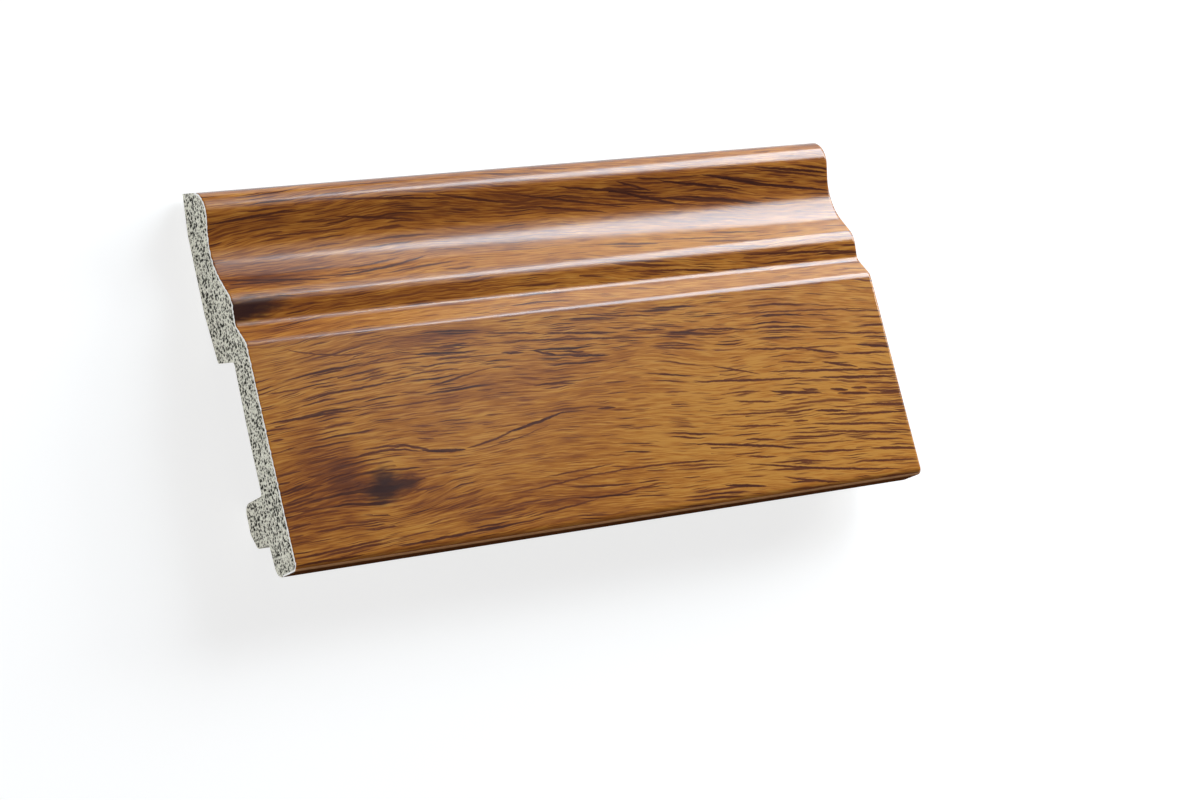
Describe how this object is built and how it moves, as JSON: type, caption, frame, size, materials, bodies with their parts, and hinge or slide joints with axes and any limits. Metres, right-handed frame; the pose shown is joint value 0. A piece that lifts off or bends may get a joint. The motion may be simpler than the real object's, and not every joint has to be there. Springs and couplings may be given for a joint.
{
  "type": "skirting board length",
  "caption": "Short length of moulded foam skirting board with a glossy wood-grain film face, two wall pads and a hollow back, sawn square at both ends",
  "frame": {"origin": "on the wall plane, under the middle of the board as it lies on its back", "axes": "+X along the board, +Y to its moulded top edge, +Z out of its show face, with the wall plane at Z = 0"},
  "size_m": [0.19, 0.1, 0.0206],
  "materials": {
    "foam": "bare extruded and sawn foam, grey-green with dark pores",
    "film": "glossy printed wood grain, golden brown with dark streaks and knots"
  },
  "bodies": {
    "root": {"foamed_body": "foam", "decor_film": "film"}
  },
  "joints": []
}
